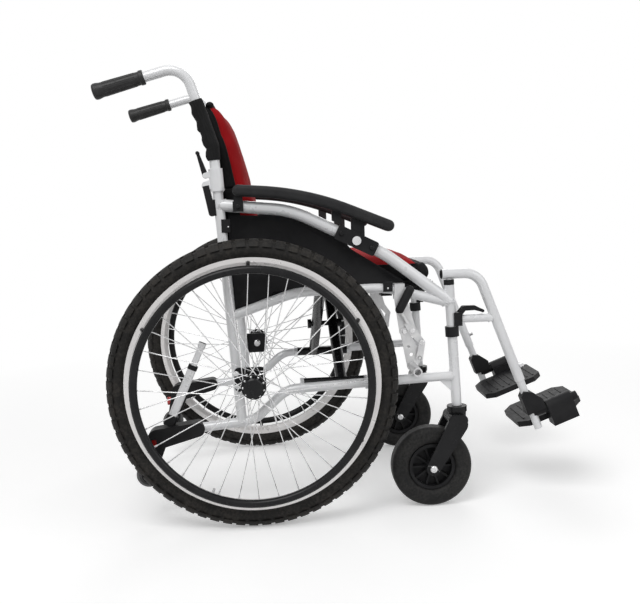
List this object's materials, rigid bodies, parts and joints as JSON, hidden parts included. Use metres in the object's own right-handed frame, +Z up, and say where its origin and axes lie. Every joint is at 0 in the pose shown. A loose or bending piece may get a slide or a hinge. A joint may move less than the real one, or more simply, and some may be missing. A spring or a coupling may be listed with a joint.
{
  "type": "all terrain wheelchair",
  "caption": "Folding manual wheelchair with knobbly spoked rear wheels, handrims, castors, swing-away footrests, fold-down back and red padded seat.",
  "frame": {"origin": "on the floor, under the middle of the part's bounding box", "axes": "+X forward, +Y to the sitter's left, +Z up"},
  "size_m": [1.0467, 0.697, 0.9726],
  "materials": {
    "silver_paint": "satin silver paint",
    "black_moulding": "matt moulding",
    "black_coat": "gloss black powder coat",
    "bright_steel": "satin",
    "rim_alloy": "satin",
    "black_tyre": "knobbly tread",
    "castor_rubber": "matt",
    "grey_rubber": "matt",
    "grip_rubber": "smooth, glossy",
    "pad_moulding": "soft grained moulding",
    "red_cloth": "woven",
    "black_cloth": "woven nylon"
  },
  "bodies": {
    "right_frame": {"right_side_frame": "silver_paint", "right_frame_fittings": "black_moulding", "right_axle_carrier": "black_moulding", "right_side_guard": "black_moulding", "right_anti_tip_arm": "black_moulding", "right_brake_plate": "bright_steel", "hand_pump": "rim_alloy", "lower_back_pad": "red_cloth"},
    "right_wheel": {"right_tyre": "black_tyre", "right_rim": "rim_alloy", "right_spoked_hub": "rim_alloy", "right_handrim": "black_coat"},
    "right_castor_fork": {"right_castor_fork": "black_coat"},
    "right_castor_wheel": {"right_castor_tyre": "castor_rubber", "right_castor_hub": "black_moulding"},
    "right_hanger": {"right_hanger": "silver_paint", "right_footrest_tube": "silver_paint"},
    "right_hanger_latch": {"right_hanger_latch": "black_moulding"},
    "right_footplate": {"right_footplate": "black_moulding"},
    "right_brake_lever": {"right_brake_lever": "black_moulding"},
    "right_brake_bar": {"right_brake_bar": "bright_steel"},
    "right_brake_link": {"right_brake_link": "bright_steel"},
    "right_back": {"right_back_cane": "silver_paint", "right_push_grip": "grip_rubber", "upper_back_sling": "black_cloth", "upper_back_pad": "red_cloth"},
    "right_back_release": {"right_back_release": "black_moulding"},
    "right_armrest": {"right_armrest": "pad_moulding"},
    "right_arm_button": {"right_arm_button": "bright_steel"},
    "right_anti_tip_wheel": {"right_anti_tip_wheel": "grey_rubber"},
    "left_frame": {"left_side_frame": "silver_paint", "left_frame_fittings": "black_moulding", "left_axle_carrier": "black_moulding", "left_side_guard": "black_moulding", "left_anti_tip_arm": "black_moulding", "left_brake_plate": "bright_steel"},
    "left_wheel": {"left_tyre": "black_tyre", "left_rim": "rim_alloy", "left_spoked_hub": "rim_alloy", "left_handrim": "black_coat"},
    "left_castor_fork": {"left_castor_fork": "black_coat"},
    "left_castor_wheel": {"left_castor_tyre": "castor_rubber", "left_castor_hub": "black_moulding"},
    "left_hanger": {"left_hanger": "silver_paint", "left_footrest_tube": "silver_paint"},
    "left_hanger_latch": {"left_hanger_latch": "black_moulding"},
    "left_footplate": {"left_footplate": "black_moulding"},
    "left_brake_lever": {"left_brake_lever": "black_moulding"},
    "left_brake_bar": {"left_brake_bar": "bright_steel"},
    "left_brake_link": {"left_brake_link": "bright_steel"},
    "left_back": {"left_back_cane": "silver_paint", "left_push_grip": "grip_rubber"},
    "left_back_release": {"left_back_release": "black_moulding"},
    "left_armrest": {"left_armrest": "pad_moulding"},
    "left_arm_button": {"left_arm_button": "bright_steel"},
    "left_anti_tip_wheel": {"left_anti_tip_wheel": "grey_rubber"},
    "brace_a": {"brace_arm_a": "black_coat"},
    "brace_b": {"brace_arm_b": "black_coat"},
    "seat": {"seat_sling": "black_cloth", "seat_cushion": "red_cloth"}
  },
  "joints": [
    {"name": "brace_fold", "type": "hinge", "parent": "right_frame", "child": "brace_a", "pos_m": [-0.04264, -0.205, 0.282], "axis": [1, 0, 0], "range_deg": [0, 26], "deforming": ["seat_sling", "seat_cushion", "upper_back_sling", "upper_back_pad", "lower_back_pad"]},
    {"name": "brace_cross", "type": "hinge", "parent": "brace_a", "child": "brace_b", "pos_m": [-0.04264, 0, 0.38536], "axis": [1, 0, 0], "range_deg": [-52, 0]},
    {"name": "left_frame_fold", "type": "hinge", "parent": "brace_b", "child": "left_frame", "pos_m": [-0.04264, 0.205, 0.282], "axis": [1, 0, 0], "range_deg": [0, 26]},
    {"name": "seat_rise", "type": "hinge", "parent": "brace_a", "child": "seat", "pos_m": [-0.04264, 0.1996, 0.486], "axis": [1, 0, 0], "range_deg": [-26, 0]},
    {"name": "right_wheel_roll", "type": "hinge", "parent": "right_frame", "child": "right_wheel", "pos_m": [-0.21464, -0.3, 0.305], "axis": [0, 1, 0], "continuous": true},
    {"name": "right_castor_swivel", "type": "hinge", "parent": "right_frame", "child": "right_castor_fork", "pos_m": [0.22936, -0.231, 0.221], "axis": [0, 0, 1], "continuous": true},
    {"name": "right_castor_roll", "type": "hinge", "parent": "right_castor_fork", "child": "right_castor_wheel", "pos_m": [0.16836, -0.231, 0.089], "axis": [0, 1, 0], "continuous": true},
    {"name": "right_hanger_swing", "type": "hinge", "parent": "right_frame", "child": "right_hanger", "pos_m": [0.21736, -0.231, 0.49], "axis": [0.0447, 0, -0.999], "range_deg": [0, 100]},
    {"name": "right_hanger_release", "type": "hinge", "parent": "right_hanger", "child": "right_hanger_latch", "pos_m": [0.24836, -0.231, 0.437], "axis": [0, -1, 0], "range_deg": [0, 18], "stiffness_Nm_per_rad": 0.5},
    {"name": "right_footplate_flip", "type": "hinge", "parent": "right_hanger", "child": "right_footplate", "pos_m": [0.40075, -0.231, 0.19372], "axis": [0.9367, 0, 0.3502], "range_deg": [0, 90]},
    {"name": "right_brake_apply", "type": "hinge", "parent": "right_frame", "child": "right_brake_lever", "pos_m": [0.12986, -0.2538, 0.396], "axis": [0, 1, 0], "range_deg": [0, 42]},
    {"name": "right_brake_press", "type": "hinge", "parent": "right_frame", "child": "right_brake_bar", "pos_m": [0.11336, -0.2494, 0.394], "axis": [0, 1, 0], "range_deg": [0, 20.5]},
    {"name": "right_brake_link_turn", "type": "hinge", "parent": "right_brake_lever", "child": "right_brake_link", "pos_m": [0.15026, -0.2582, 0.37], "axis": [0, -1, 0], "range_deg": [0, 43]},
    {"name": "right_back_fold", "type": "hinge", "parent": "right_frame", "child": "right_back", "pos_m": [-0.29764, -0.231, 0.722], "axis": [0, -1, 0], "range_deg": [0, 100]},
    {"name": "right_back_unlock", "type": "hinge", "parent": "right_back", "child": "right_back_release", "pos_m": [-0.29764, -0.231, 0.743], "axis": [0, -1, 0], "range_deg": [0, 20], "stiffness_Nm_per_rad": 0.5},
    {"name": "right_armrest_flip", "type": "hinge", "parent": "right_frame", "child": "right_armrest", "pos_m": [-0.22964, -0.2464, 0.709], "axis": [0, -1, 0], "range_deg": [0, 90]},
    {"name": "right_arm_button_push", "type": "slide", "parent": "right_frame", "child": "right_arm_button", "axis": [0, 1, 0], "range_m": [0, 0.003], "stiffness_N_per_m": 400},
    {"name": "right_anti_tip_roll", "type": "hinge", "parent": "right_frame", "child": "right_anti_tip_wheel", "pos_m": [-0.45264, -0.231, 0.103], "axis": [0, 1, 0], "continuous": true},
    {"name": "left_wheel_roll", "type": "hinge", "parent": "left_frame", "child": "left_wheel", "pos_m": [-0.21464, 0.3, 0.305], "axis": [0, 1, 0], "continuous": true},
    {"name": "left_castor_swivel", "type": "hinge", "parent": "left_frame", "child": "left_castor_fork", "pos_m": [0.22936, 0.231, 0.221], "axis": [0, 0, 1], "continuous": true},
    {"name": "left_castor_roll", "type": "hinge", "parent": "left_castor_fork", "child": "left_castor_wheel", "pos_m": [0.16836, 0.231, 0.089], "axis": [0, 1, 0], "continuous": true},
    {"name": "left_hanger_swing", "type": "hinge", "parent": "left_frame", "child": "left_hanger", "pos_m": [0.21736, 0.231, 0.49], "axis": [-0.0447, 0, 0.999], "range_deg": [0, 100]},
    {"name": "left_hanger_release", "type": "hinge", "parent": "left_hanger", "child": "left_hanger_latch", "pos_m": [0.24836, 0.231, 0.437], "axis": [0, -1, 0], "range_deg": [0, 18], "stiffness_Nm_per_rad": 0.5},
    {"name": "left_footplate_flip", "type": "hinge", "parent": "left_hanger", "child": "left_footplate", "pos_m": [0.40075, 0.231, 0.19372], "axis": [-0.9367, 0, -0.3502], "range_deg": [0, 90]},
    {"name": "left_brake_apply", "type": "hinge", "parent": "left_frame", "child": "left_brake_lever", "pos_m": [0.12986, 0.2538, 0.396], "axis": [0, 1, 0], "range_deg": [0, 42]},
    {"name": "left_brake_press", "type": "hinge", "parent": "left_frame", "child": "left_brake_bar", "pos_m": [0.11336, 0.2494, 0.394], "axis": [0, 1, 0], "range_deg": [0, 20.5]},
    {"name": "left_brake_link_turn", "type": "hinge", "parent": "left_brake_lever", "child": "left_brake_link", "pos_m": [0.15026, 0.2582, 0.37], "axis": [0, -1, 0], "range_deg": [0, 43]},
    {"name": "left_back_fold", "type": "hinge", "parent": "left_frame", "child": "left_back", "pos_m": [-0.29764, 0.231, 0.722], "axis": [0, -1, 0], "range_deg": [0, 100]},
    {"name": "left_back_unlock", "type": "hinge", "parent": "left_back", "child": "left_back_release", "pos_m": [-0.29764, 0.231, 0.743], "axis": [0, -1, 0], "range_deg": [0, 20], "stiffness_Nm_per_rad": 0.5},
    {"name": "left_armrest_flip", "type": "hinge", "parent": "left_frame", "child": "left_armrest", "pos_m": [-0.22964, 0.2464, 0.709], "axis": [0, -1, 0], "range_deg": [0, 90]},
    {"name": "left_arm_button_push", "type": "slide", "parent": "left_frame", "child": "left_arm_button", "axis": [0, -1, 0], "range_m": [0, 0.003], "stiffness_N_per_m": 400},
    {"name": "left_anti_tip_roll", "type": "hinge", "parent": "left_frame", "child": "left_anti_tip_wheel", "pos_m": [-0.45264, 0.231, 0.103], "axis": [0, 1, 0], "continuous": true}
  ],
  "couplings": [
    {"joint": "brace_cross", "follows": "brace_fold", "ratio": -2},
    {"joint": "left_frame_fold", "follows": "brace_fold", "ratio": 1},
    {"joint": "seat_rise", "follows": "brace_fold", "ratio": -1},
    {"joint": "left_back_fold", "follows": "right_back_fold", "ratio": 1},
    {"joint": "right_brake_press", "follows": "right_brake_apply", "ratio": 0.4881},
    {"joint": "right_brake_link_turn", "follows": "right_brake_apply", "ratio": 1.0238},
    {"joint": "left_brake_press", "follows": "left_brake_apply", "ratio": 0.4881},
    {"joint": "left_brake_link_turn", "follows": "left_brake_apply", "ratio": 1.0238}
  ]
}
